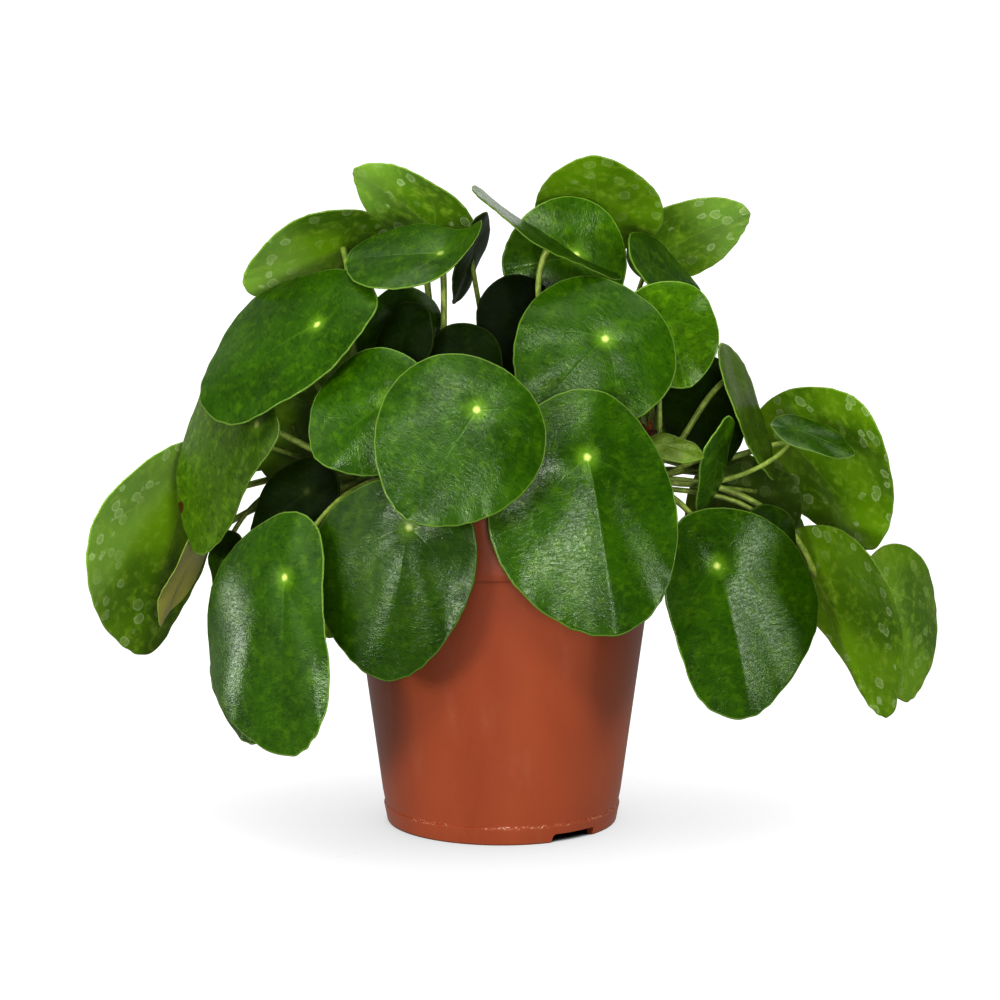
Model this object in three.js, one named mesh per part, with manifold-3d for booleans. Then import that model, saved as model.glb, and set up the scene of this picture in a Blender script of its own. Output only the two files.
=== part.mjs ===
// Potted pilea plant: a 12 cm nursery pot, its soil, three short woody stems, and round leaves,
// each leaf a thin blade held by a stalk that meets its underside.
// Millimetres, +Z up, the feet of the pot on z = 0, the front toward -Y. The sizes below are taken
// from the pot's axis; at the end the whole plant is moved so that its outline seen from above is
// centred on x = y = 0, since the leaves reach further to the right and to the back.

import * as THREE from "three";
import Module from "manifold-3d";

const wasm = await Module();
wasm.setup();

// Pot
const RIM_RADIUS = 60;
const POT_HEIGHT = 128;
const COLLAR_HEIGHT = 25;
const COLLAR_STEP = 1.1;
const BASE_RADIUS = 44;
const FOOT_BAND = 7;
const WALL = 1.6;
const FLOOR_LEVEL = 5;
const FLOOR_THICK = 2;
const POT_SIDES = 40;
const NOTCHES = 2;
const NOTCH_WIDTH = 19;
const NOTCH_HEIGHT = 3.2;
const NOTCH_TURN = 38.5;
const DRAIN_HOLES = 6;
const DRAIN_RADIUS = 3.6;
const DRAIN_CIRCLE = 27;

// Soil and stems
const SOIL_LEVEL = 114;
const SOIL_GAP = 0.4;
const HOLE_DEPTH = 24;
const HOLE_GAP = 0.5;

// Leaves
const BLADE = 0.9;
const STALK_SIDES = 5;
const STALK_STEPS = 7;
const STALK_GAP = 0.3;

// Where the pot's axis stands
const AXIS_X = -5.8;
const AXIS_Y = -5.7;

// Colours
const POT_COLOUR = "#b4532f";
const SOIL_COLOUR = "#2e231b";
const BARK_COLOUR = "#6d4a32";
const LEAF_COLOUR = "#3d7429";
const SHADE_COLOUR = "#2a5421";
const PALE_COLOUR = "#6f8b3a";

// Leaves that turn their paler underside to the front
const PALE = ["back_top_left", "back_top_mid", "back_top_right", "back_upper_left", "far_left",
  "edge_left", "olive_left", "back_right", "low_far_right", "dull_right"];

const rad = THREE.MathUtils.degToRad;
const V = (x, y, z) => new THREE.Vector3(x, y, z);

// Solids

function solidFrom(points, faces) {
  const vertProperties = new Float32Array(points.length * 3);
  points.forEach((p, i) => vertProperties.set([p.x, p.y, p.z], i * 3));
  return new wasm.Manifold(new wasm.Mesh({
    numProp: 3,
    vertProperties,
    triVerts: new Uint32Array(faces.flat()),
  }));
}

function meshFrom(name, solid, color, roughness) {
  const data = solid.getMesh();
  const geometry = new THREE.BufferGeometry();
  const flat = new Float32Array(data.numVert * 3);
  for (let i = 0; i < data.numVert; i++) {
    for (let k = 0; k < 3; k++) {
      flat[i * 3 + k] = data.vertProperties[i * data.numProp + k];
    }
  }
  geometry.setAttribute("position", new THREE.BufferAttribute(flat, 3));
  geometry.setIndex(new THREE.BufferAttribute(new Uint32Array(data.triVerts), 1));
  geometry.computeVertexNormals();
  const material = new THREE.MeshStandardMaterial({ color, roughness, metalness: 0 });
  const mesh = new THREE.Mesh(geometry, material);
  mesh.name = name;
  return mesh;
}

// A closed profile of [radius, height] points turned round the Z axis. Points on the axis are shared.
function turned(profile, sides) {
  const points = [];
  const rows = profile.map(([r, z]) => {
    if (r < 1e-6) {
      points.push(V(0, 0, z));
      return Array(sides).fill(points.length - 1);
    }
    const row = [];
    for (let i = 0; i < sides; i++) {
      const t = (i / sides) * Math.PI * 2;
      points.push(V(r * Math.cos(t), r * Math.sin(t), z));
      row.push(points.length - 1);
    }
    return row;
  });
  const closed = profile[0][0] > 1e-6;
  const faces = [];
  const last = closed ? rows.length : rows.length - 1;
  for (let j = 0; j < last; j++) {
    const a = rows[j];
    const b = rows[(j + 1) % rows.length];
    for (let i = 0; i < sides; i++) {
      const k = (i + 1) % sides;
      if (a[i] !== a[k]) {
        faces.push([a[i], a[k], b[k]]);
      }
      if (b[i] !== b[k]) {
        faces.push([a[i], b[k], b[i]]);
      }
    }
  }
  return { points, faces };
}

// A round tube along a list of centres, with a radius for each of them.
function tube(centres, radii, sides, firstTangent, lastTangent) {
  const points = [];
  const faces = [];
  let side = null;
  centres.forEach((c, i) => {
    const before = centres[Math.max(i - 1, 0)];
    const after = centres[Math.min(i + 1, centres.length - 1)];
    const along = after.clone().sub(before);
    if (i === 0 && firstTangent) {
      along.copy(firstTangent);
    }
    if (i === centres.length - 1 && lastTangent) {
      along.copy(lastTangent);
    }
    along.normalize();
    if (!side) {
      side = Math.abs(along.z) < 0.8 ? V(0, 0, 1) : V(1, 0, 0);
    }
    side = side.clone().addScaledVector(along, -side.dot(along)).normalize();
    const other = along.clone().cross(side);
    for (let k = 0; k < sides; k++) {
      const t = (k / sides) * Math.PI * 2;
      points.push(c.clone()
        .addScaledVector(side, radii[i] * Math.cos(t))
        .addScaledVector(other, radii[i] * Math.sin(t)));
    }
  });
  for (let i = 0; i < centres.length - 1; i++) {
    for (let k = 0; k < sides; k++) {
      const m = (k + 1) % sides;
      const a = i * sides + k;
      const b = i * sides + m;
      faces.push([a, b, b + sides], [a, b + sides, a + sides]);
    }
  }
  const end = (centres.length - 1) * sides;
  for (let k = 1; k < sides - 1; k++) {
    faces.push([0, k + 1, k], [end, end + k, end + k + 1]);
  }
  return solidFrom(points, faces);
}

// Pot

function outerRadius(z) {
  const top = RIM_RADIUS - COLLAR_STEP - 0.9;
  return THREE.MathUtils.lerp(BASE_RADIUS, top, z / (POT_HEIGHT - COLLAR_HEIGHT));
}

function pot() {
  const shoulder = POT_HEIGHT - COLLAR_HEIGHT;
  const profile = [
    [BASE_RADIUS - 0.6, 0],
    [BASE_RADIUS + 0.1, 0.7],
    [outerRadius(FOOT_BAND) + 0.2, FOOT_BAND - 0.4],
    [outerRadius(FOOT_BAND) - 0.4, FOOT_BAND],
    [outerRadius(shoulder / 2), shoulder / 2],
    [outerRadius(shoulder), shoulder],
    [RIM_RADIUS - 1.0, shoulder + 0.2],
    [RIM_RADIUS - 0.5, shoulder + 0.9],
    [RIM_RADIUS, POT_HEIGHT - 0.8],
    [RIM_RADIUS - 0.5, POT_HEIGHT],
    [RIM_RADIUS - WALL - 0.2, POT_HEIGHT - 0.1],
    [RIM_RADIUS - WALL - 0.6, POT_HEIGHT - 0.9],
    [RIM_RADIUS - WALL - 1.2, shoulder + 2],
    [outerRadius(shoulder) - WALL, shoulder - 1],
    [outerRadius(FLOOR_LEVEL + FLOOR_THICK) - WALL - 0.6, FLOOR_LEVEL + FLOOR_THICK],
    [0, FLOOR_LEVEL + FLOOR_THICK],
    [0, FLOOR_LEVEL],
    [BASE_RADIUS - 3.6, FLOOR_LEVEL],
    [BASE_RADIUS - 3.2, 0],
  ];
  const start = 15;
  const rolled = [...profile.slice(start + 1), ...profile.slice(0, start + 1)];
  const { points, faces } = turned(rolled, POT_SIDES);
  let body = solidFrom(points, faces);
  for (let i = 0; i < NOTCHES; i++) {
    const turn = -90 + NOTCH_TURN + (i * 360) / NOTCHES;
    const slab = wasm.Manifold.cube([12, NOTCH_WIDTH, NOTCH_HEIGHT * 2], true)
      .translate([BASE_RADIUS - 1, 0, 0])
      .rotate([0, 0, turn]);
    body = body.subtract(slab);
  }
  for (let i = 0; i < DRAIN_HOLES; i++) {
    const t = ((i + 0.5) / DRAIN_HOLES) * Math.PI * 2;
    const hole = wasm.Manifold.cylinder(10, DRAIN_RADIUS, DRAIN_RADIUS, 12)
      .translate([DRAIN_CIRCLE * Math.cos(t), DRAIN_CIRCLE * Math.sin(t), 1]);
    body = body.subtract(hole);
  }
  return body;
}

// Stems: where each leaves the soil, where it ends, and its thickness.
const STEMS = {
  mid: { foot: [-6, 8], top: [-13, 2, 166], radius: 5.0 },
  left: { foot: [-27, 2], top: [-52, -8, 152], radius: 4.6 },
  right: { foot: [26, 2], top: [57, -6, 149], radius: 4.6 },
};

function stemPoint(stem, t) {
  const foot = V(stem.foot[0], stem.foot[1], SOIL_LEVEL);
  const top = V(...stem.top);
  const rise = (top.z - foot.z) * 0.45;
  const curve = new THREE.CubicBezierCurve3(
    foot,
    foot.clone().add(V(0, 0, rise)),
    top.clone().sub(V(0, 0, rise * 0.7)),
    top,
  );
  return curve.getPoint(t);
}

function stemSolid(stem) {
  const centres = [V(stem.foot[0], stem.foot[1], SOIL_LEVEL - HOLE_DEPTH + 1)];
  const radii = [stem.radius * 0.9];
  const steps = 9;
  for (let i = 0; i <= steps; i++) {
    const t = i / steps;
    centres.push(stemPoint(stem, t));
    const knot = i % 2 ? 1 : 0.88;
    radii.push(stem.radius * knot * (1 - 0.25 * t));
  }
  const tip = centres[centres.length - 1].clone().add(V(0, 0, 2.5));
  centres.push(tip);
  radii.push(stem.radius * 0.3);
  return tube(centres, radii, 9, V(0, 0, 1));
}

// Soil: a plug that fills the pot, rough on top, with a hole for each stem.
function soilHeight(x, y) {
  return SOIL_LEVEL
    + 1.3 * Math.sin(x * 0.21 + 1) * Math.cos(y * 0.17)
    + 0.8 * Math.sin(x * 0.47 - y * 0.39);
}

function soil() {
  const shoulder = POT_HEIGHT - COLLAR_HEIGHT;
  const under = FLOOR_LEVEL + FLOOR_THICK;
  const inside = outerRadius(shoulder) - WALL - SOIL_GAP;
  const profile = [
    [0, under + SOIL_GAP],
    [outerRadius(under) - WALL - 0.6 - SOIL_GAP, under + SOIL_GAP],
    [inside, shoulder - 1],
    [inside + 0.1, SOIL_LEVEL - 1.5],
    [inside - 1.5, SOIL_LEVEL],
    [inside * 0.72, SOIL_LEVEL],
    [inside * 0.46, SOIL_LEVEL],
    [inside * 0.2, SOIL_LEVEL],
    [0, SOIL_LEVEL],
  ];
  const { points, faces } = turned(profile, 32);
  for (const p of points) {
    if (p.z > SOIL_LEVEL - 0.5) {
      p.z = soilHeight(p.x, p.y);
    }
  }
  let body = solidFrom(points, faces);
  for (const stem of Object.values(STEMS)) {
    const r = stem.radius + HOLE_GAP;
    const hole = wasm.Manifold.cylinder(HOLE_DEPTH + 10, r, r, 14)
      .translate([stem.foot[0], stem.foot[1], SOIL_LEVEL - HOLE_DEPTH]);
    body = body.subtract(hole);
  }
  return body;
}

// Leaves
//
// Each leaf: name, stem, where the stalk meets the blade, the way the upper face looks and its turn
// (bearing: 0 toward the front, 90 toward +X, 180 toward the back; lift: 0 level, 90 up; turn: of the
// tip from straight down), its length, width and the share of the length above the stalk. Then the
// shape: side, tip and base say how far those edges droop, fold how far the halves rise from the
// midrib, lean how far the blade bulges to one side, egg how much wider it is above than below, wave
// how wavy the margin is, twist a corkscrew turn. The stalk: arch and bow lift it at the stem and at the
// blade, pull and push say how straight it leaves the blade and the stem, swing turns it at the stem.
const leaf = (name, stem, at, [bearing, lift, turn], [long, wide, seat], shape = {}) => ({
  name,
  stem,
  at,
  bearing,
  lift,
  turn,
  long,
  wide,
  seat,
  side: 3,
  tip: 3,
  base: 1,
  fold: 0,
  lean: 0,
  egg: 0.13,
  wave: 1,
  waves: 5,
  twist: 0,
  arch: 0,
  bow: 0,
  swing: 0,
  pull: 0.33,
  push: 0.3,
  ...shape,
});

const LEAVES = [
  // Front
  leaf("leaf_front_top", "mid", [-9, -72, 169], [5, 22, -34], [64, 61, 0.29], { side: 5, base: 2 }),
  leaf("leaf_front_right", "right", [31, -62, 150], [12, 18, 7], [88, 69, 0.29],
    { side: 6, tip: 7, base: 3, lean: -4, egg: -0.06, wave: 1.4 }),
  leaf("leaf_front_left", "left", [-34, -62, 124], [-15, 15, -8], [72, 63, 0.25],
    { side: 5, tip: 6, base: 2, lean: -5, arch: 10, bow: 22 }),
  leaf("leaf_low_left", "left", [-80, -54, 104], [-40, 12, 7], [87, 71, 0.28],
    { side: 7, tip: 5, base: 3, lean: -16, egg: -0.08, arch: 20, bow: 36 }),
  leaf("leaf_low_right", "right", [80, -36, 105], [28, 15, 8], [77, 68, 0.28],
    { side: 5, tip: 5, base: 2, lean: 11, egg: 0, arch: 18, bow: 36 }),
  leaf("leaf_upper_right", "mid", [38, -36, 190], [5, 30, -45], [60, 60, 0.38],
    { side: 4, tip: 4, base: 2, wave: 1.6, waves: 6 }),
  leaf("leaf_mid_left", "left", [-42, -40, 168], [-15, 25, -50], [50, 48, 0.34], { side: 4 }),
  leaf("leaf_upper_left", "left", [-69, -17, 193], [-40, 42, -49], [77, 64, 0.32],
    { side: 4, tip: 6, base: 2, lean: -6, egg: -0.14 }),
  leaf("leaf_left", "left", [-92, -15, 155], [-50, 15, -31], [68, 62, 0.16],
    { side: 4, tip: 4, lean: -18, egg: 0 }),
  // Top
  leaf("leaf_crown_front", "mid", [28, 8, 216], [10, 15, -80], [46, 46, 0.42], { side: 3, swing: 30 }),
  leaf("leaf_crown_left", "mid", [-23, -10, 219], [-22, 60, -80], [53, 39, 0.34],
    { side: 1, tip: 1, base: -11, egg: -0.3, wave: 0.5 }),
  leaf("leaf_crown_edge", "right", [18, -13, 222], [88, 58, 0], [63, 38, 0.57],
    { side: 0, tip: -3, base: -3, wave: 0.5 }),
  leaf("leaf_crown_dark", "mid", [-9, 6, 222], [70, -18, 0], [36, 27, 0.3],
    { side: 1, tip: 1, wave: 0.5, pull: 0.15 }),
  leaf("leaf_back_top_left", "mid", [-25, 36, 224], [148, 35, 137], [54, 43, 0.32],
    { side: 1, tip: 1, wave: 0.5 }),
  leaf("leaf_back_top_mid", "mid", [38, 28, 227], [175, 40, 176], [51, 48, 0.31],
    { side: 2, tip: 2, wave: 0.4, pull: 0.1, swing: 60 }),
  leaf("leaf_back_top_right", "right", [63, 46, 215], [-160, 37, -122], [49, 42, 0.31],
    { side: 1, tip: 1, wave: 0.3, pull: 0.2, swing: 10 }),
  leaf("leaf_back_upper_left", "left", [-61, 30, 217], [-160, 42, 62], [57, 50, 0.32],
    { side: 1, tip: 2, wave: 0.5 }),
  leaf("leaf_right_high", "right", [62, -16, 195], [20, 20, 10], [40, 40, 0.36], { side: 3, tip: 2 }),
  leaf("leaf_right_behind", "right", [57, 5, 213], [65, 35, 55], [44, 34, 0.3],
    { side: 1, tip: 1, wave: 0.4, pull: 0.15, swing: 50 }),
  // Right
  leaf("leaf_edge_right", "right", [88, 0, 171], [72, 20, 6], [54, 34, 0.25],
    { side: 0, tip: 0, wave: 0.5 }),
  leaf("leaf_small_right", "right", [110, -20, 154], [20, 62, 44], [33, 20, 0.3],
    { side: 0.5, tip: 1, wave: 0.5 }),
  leaf("leaf_back_right", "right", [112, 18, 143], [138, 20, -42], [67, 66, 0.27],
    { side: 2, tip: 3, lean: -11, bow: 7, pull: 0.15, swing: 5 }),
  leaf("leaf_low_far_right", "right", [120, 2, 94], [134, 10, -30], [77, 50, 0.25],
    { side: 3, tip: 1, lean: -14, egg: 0.3, wave: 0.6, arch: 28, bow: 44, pull: 0.2 }),
  leaf("leaf_rim_right", "right", [151, 20, 84], [50, 10, 10], [60, 54, 0.3],
    { side: 3, lean: 5, wave: 0.4, arch: 30, bow: 48, swing: 20 }),
  leaf("leaf_spear_right", "right", [81, -24, 142], [64, -16, 10], [40, 26, 0.45],
    { side: 2, tip: 2, wave: 0.5 }),
  leaf("leaf_dull_right", "right", [97, 14, 125], [170, 15, 0], [38, 36, 0.33],
    { side: 2, arch: -4, bow: 8, swing: 45 }),
  leaf("leaf_shade_right", "right", [101, -13, 113], [30, 15, 0], [34, 26, 0.33],
    { side: 2, arch: 14, bow: 20, pull: 0.1, swing: -10 }),
  leaf("leaf_young_right", "right", [60, -37, 151], [10, 62, 60], [22, 16, 0.33],
    { side: 1, tip: 1, wave: 0.3 }),
  leaf("leaf_shade_right_high", "right", [76, 12, 164], [20, 25, 0], [46, 36, 0.33]),
  // Left
  leaf("leaf_far_left", "left", [-126, 48, 114], [-138, 15, 10], [87, 65, 0.31],
    { side: 3, tip: 3, base: 2, lean: 12, arch: 8, bow: 18, swing: -8 }),
  leaf("leaf_low_left_behind", "left", [-91, -24, 82], [-50, 10, 0], [64, 54, 0.3],
    { lean: -4, egg: -0.2, arch: 28, bow: 54 }),
  leaf("leaf_edge_left", "left", [-117, 20, 103], [-118, 33, 0], [60, 24, 0.4],
    { side: 1, arch: 17, bow: 36 }),
  leaf("leaf_shade_left_low", "left", [-106, 4, 104], [-40, 20, 0], [22, 18, 0.33],
    { arch: 19, bow: 41, swing: 16 }),
  leaf("leaf_shade_left_high", "left", [-106, 12, 148], [-65, 20, 0], [44, 42, 0.33]),
  leaf("leaf_shade_left", "left", [-73, -24, 131], [-25, 20, -45], [40, 30, 0.32]),
  leaf("leaf_olive_left", "left", [-80, 22, 149], [180, 30, 0], [44, 32, 0.33], { swing: 25 }),
  // Middle, in the shade
  leaf("leaf_shade_mid", "mid", [-36, -20, 190], [-30, 20, -10], [34, 23, 0.36], { side: 2 }),
  leaf("leaf_shade_mid_low", "mid", [-14, -20, 183], [0, 22, 0], [34, 28, 0.33], { side: 2 }),
  leaf("leaf_shade_crown", "mid", [6, -8, 196], [10, 12, 0], [40, 30, 0.36]),
  leaf("leaf_green_mid", "mid", [-39, 9, 192], [-15, 35, 0], [42, 33, 0.33]),
  // Behind
  leaf("leaf_behind_1", "left", [-78, 58, 168], [-145, 35, 5], [72, 64, 0.31], { side: 5, tip: 5 }),
  leaf("leaf_behind_2", "mid", [-6, 50, 158], [180, 50, 10], [56, 56, 0.31], { side: 4, tip: 4 }),
  leaf("leaf_behind_3", "right", [58, 58, 175], [150, 32, -10], [70, 62, 0.31], { side: 5, tip: 5 }),
  leaf("leaf_behind_4", "left", [-60, 64, 110], [-150, 15, 5], [74, 64, 0.3],
    { side: 6, tip: 5, arch: 10, bow: 26 }),
  leaf("leaf_behind_5", "mid", [-44, 84, 124], [-168, 20, -8], [72, 62, 0.3],
    { side: 6, tip: 6, arch: 8, bow: 20 }),
  leaf("leaf_behind_6", "mid", [32, 86, 124], [170, 16, 6], [72, 62, 0.3],
    { side: 6, tip: 6, arch: 8, bow: 20 }),
  leaf("leaf_behind_7", "right", [98, 60, 112], [136, 16, -5], [72, 62, 0.3],
    { side: 6, tip: 5, arch: 10, bow: 26, swing: 40 }),
];

function leafFrame(leaf) {
  const b = rad(leaf.bearing);
  const e = rad(leaf.lift);
  const r = rad(leaf.turn);
  const out = V(Math.sin(b), -Math.cos(b), 0);
  const normal = out.clone().multiplyScalar(Math.cos(e)).add(V(0, 0, Math.sin(e)));
  const down = out.clone().multiplyScalar(Math.sin(e)).add(V(0, 0, -Math.cos(e)));
  const level = normal.clone().cross(down);
  const tipward = down.clone().multiplyScalar(Math.cos(r)).addScaledVector(level, Math.sin(r));
  const sideways = level.clone().multiplyScalar(Math.cos(r)).addScaledVector(down, -Math.sin(r));
  return { origin: V(...leaf.at), normal, tipward, sideways };
}

// The blade in its own plane: share 0 is the stalk's seat, 1 the margin; angle 0 is the tip.
function bladePoint(leaf, frame, angle, share) {
  const c = Math.cos(angle);
  const s = Math.sin(angle);
  const point = 0.03 * Math.max(0, c) ** 10;
  const v = share * leaf.long * (0.5 - leaf.seat + 0.5 * c + point);
  const u = share * ((leaf.wide / 2) * s * (1 - leaf.egg * c) + leaf.lean * s * s);
  const across = u / (leaf.wide / 2);
  const along = v > 0 ? v / (leaf.long * (1 - leaf.seat)) : v / (leaf.long * leaf.seat);
  const droop = leaf.side * across ** 2 + (v > 0 ? leaf.tip : leaf.base) * along ** 2;
  const folded = leaf.fold * (Math.sqrt(across ** 2 + 0.02) - 0.14);
  const wavy = leaf.wave * share ** 2 * Math.sin(leaf.waves * angle + leaf.long);
  const twisted = leaf.twist * across * along;
  const dimple = 0.8 * Math.exp(-(u * u + v * v) / 40);
  const h = -droop + folded + wavy + twisted - dimple;
  return frame.origin.clone()
    .addScaledVector(frame.sideways, u)
    .addScaledVector(frame.tipward, v)
    .addScaledVector(frame.normal, h);
}

function blade(leaf, frame) {
  const sectors = leaf.long > 60 ? 16 : leaf.long > 45 ? 14 : 12;
  const rings = leaf.long > 45 ? [0.38, 0.72, 1] : [0.5, 1];
  const middle = [bladePoint(leaf, frame, 0, 0)];
  for (const share of rings) {
    for (let i = 0; i < sectors; i++) {
      middle.push(bladePoint(leaf, frame, (i / sectors) * Math.PI * 2, share));
    }
  }
  const half = frame.normal.clone().multiplyScalar(BLADE / 2);
  const points = [
    ...middle.map((p) => p.clone().add(half)),
    ...middle.map((p) => p.clone().sub(half)),
  ];
  const lower = middle.length;
  const faces = [];
  const both = (a, b, c) => faces.push([a, b, c], [a + lower, c + lower, b + lower]);
  for (let i = 0; i < sectors; i++) {
    const k = (i + 1) % sectors;
    both(0, 1 + i, 1 + k);
    for (let j = 0; j < rings.length - 1; j++) {
      const a = 1 + j * sectors;
      const b = a + sectors;
      both(a + i, b + i, b + k);
      both(a + i, b + k, a + k);
    }
    const rim = 1 + (rings.length - 1) * sectors;
    faces.push([rim + i, rim + k + lower, rim + k], [rim + i, rim + i + lower, rim + k + lower]);
  }
  return solidFrom(points, faces);
}

// Where each stalk leaves its stem: the lowest leaf lowest, the stalk pointing at its leaf.
function sockets() {
  const found = new Map();
  for (const [key, stem] of Object.entries(STEMS)) {
    const own = LEAVES.filter((one) => one.stem === key).sort((p, q) => p.at[2] - q.at[2]);
    own.forEach((one, i) => {
      const t = 0.35 + 0.63 * (i / (own.length - 1));
      const centre = stemPoint(stem, t);
      const along = stemPoint(stem, Math.min(t + 0.02, 1)).sub(stemPoint(stem, t - 0.02)).normalize();
      const away = V(...one.at).setZ(centre.z).sub(centre).normalize();
      away.applyAxisAngle(V(0, 0, 1), rad(one.swing));
      away.addScaledVector(along, -away.dot(along)).normalize();
      found.set(one.name, { centre, away, radius: stem.radius * (1 - 0.25 * t) });
    });
  }
  return found;
}

function stalk(leaf, frame, socket) {
  const seat = bladePoint(leaf, frame, 0, 0);
  const thick = leaf.long > 45 ? 1.3 : 1.0;
  const start = socket.centre.clone().addScaledVector(socket.away, socket.radius + STALK_GAP);
  const far = seat.distanceTo(start);
  const curve = new THREE.CubicBezierCurve3(
    seat,
    seat.clone().addScaledVector(frame.normal, -far * leaf.pull).add(V(0, 0, leaf.bow)),
    start.clone().addScaledVector(socket.away, far * leaf.push).add(V(0, 0, leaf.arch)),
    start,
  );
  const centres = curve.getPoints(STALK_STEPS);
  const radii = centres.map((_, i) => thick * (0.85 + 0.25 * (i / STALK_STEPS)));
  return tube(centres, radii, STALK_SIDES, frame.normal.clone().negate(), socket.away.clone().negate());
}

function leafColour(name) {
  if (PALE.includes(name.replace("leaf_", ""))) {
    return PALE_COLOUR;
  }
  return name.startsWith("leaf_shade") ? SHADE_COLOUR : LEAF_COLOUR;
}

const plant = new THREE.Group();
plant.name = "plant";
plant.position.set(AXIS_X, AXIS_Y, 0);
plant.add(meshFrom("pot", pot(), POT_COLOUR, 0.42));
plant.add(meshFrom("soil", soil(), SOIL_COLOUR, 0.95));
for (const [key, stem] of Object.entries(STEMS)) {
  plant.add(meshFrom(`stem_${key}`, stemSolid(stem), BARK_COLOUR, 0.85));
}
const places = sockets();
for (const one of LEAVES) {
  const frame = leafFrame(one);
  const body = blade(one, frame).add(stalk(one, frame, places.get(one.name)));
  plant.add(meshFrom(one.name, body, leafColour(one.name), 0.35));
}

const group = new THREE.Group();
group.name = "potted_pilea";
group.add(plant);

export default group;
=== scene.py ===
import math

import bpy
import numpy as np
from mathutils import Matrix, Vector


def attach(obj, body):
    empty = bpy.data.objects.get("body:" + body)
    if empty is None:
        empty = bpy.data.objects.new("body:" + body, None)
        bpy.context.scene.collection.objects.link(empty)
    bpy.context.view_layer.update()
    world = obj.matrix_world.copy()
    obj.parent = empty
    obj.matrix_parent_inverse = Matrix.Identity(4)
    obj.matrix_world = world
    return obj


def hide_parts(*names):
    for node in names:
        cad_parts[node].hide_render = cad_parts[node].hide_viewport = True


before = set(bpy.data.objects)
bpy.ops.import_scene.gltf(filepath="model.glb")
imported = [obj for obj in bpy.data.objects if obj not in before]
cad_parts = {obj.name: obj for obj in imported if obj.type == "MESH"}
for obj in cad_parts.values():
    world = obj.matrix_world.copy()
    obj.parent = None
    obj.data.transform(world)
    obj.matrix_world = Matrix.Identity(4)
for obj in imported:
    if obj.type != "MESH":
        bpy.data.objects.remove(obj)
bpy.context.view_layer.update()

MM = 0.001
TURN = 2 * math.pi

# Sizes from the CAD source, in millimetres from the pot's axis
AXIS_X, AXIS_Y = -5.8, -5.7
RIM_RADIUS, POT_HEIGHT, COLLAR_HEIGHT, COLLAR_STEP = 60, 128, 25, 1.1
BASE_RADIUS, FOOT_BAND, WALL = 44, 7, 1.6
FLOOR_LEVEL, FLOOR_THICK = 5, 2
NOTCHES, NOTCH_WIDTH, NOTCH_HEIGHT, NOTCH_TURN = 2, 19, 3.2, 38.5
DRAIN_HOLES, DRAIN_RADIUS, DRAIN_CIRCLE = 6, 3.6, 27
SOIL_LEVEL, SOIL_GAP, HOLE_DEPTH = 114, 0.4, 24
BLADE, STALK_GAP, DOT_DIP = 0.9, 0.3, 0.8
BIG_STALK, SMALL_STALK, STEM_TAPER = 1.3, 1, 0.25
FIRST_SEAT, SEAT_SPAN = 0.35, 0.63
SHOULDER, FLOOR_TOP = POT_HEIGHT - COLLAR_HEIGHT, FLOOR_LEVEL + FLOOR_THICK

# How fine the pieces are. Leaves longer than BIG_LEAF millimetres have more points and lobes
BIG_LEAF = 45
BIG_MESH, SMALL_MESH = (96, 26), (64, 18)
BIG_LOBES, SMALL_LOBES, LOBE_DEPTH = 23, 13, 0.0035
RIPPLE_SIZE, RIPPLE_HEIGHT, NICKS, NICK_PART = 8, 0.05, 19, 400
STALK_STEPS, STALK_SIDES = 34, 12
STEM_STEPS, STEM_SIDES = 64, 24
POT_SIDES = 180
SOIL_SIDES, SOIL_RINGS, CRUMBS = 144, 44, 420

STEMS = {
    "mid": ((-6, 8), (-13, 2, 166), 5),
    "left": ((-27, 2), (-52, -8, 152), 4.6),
    "right": ((26, 2), (57, -6, 149), 4.6),
}

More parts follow.
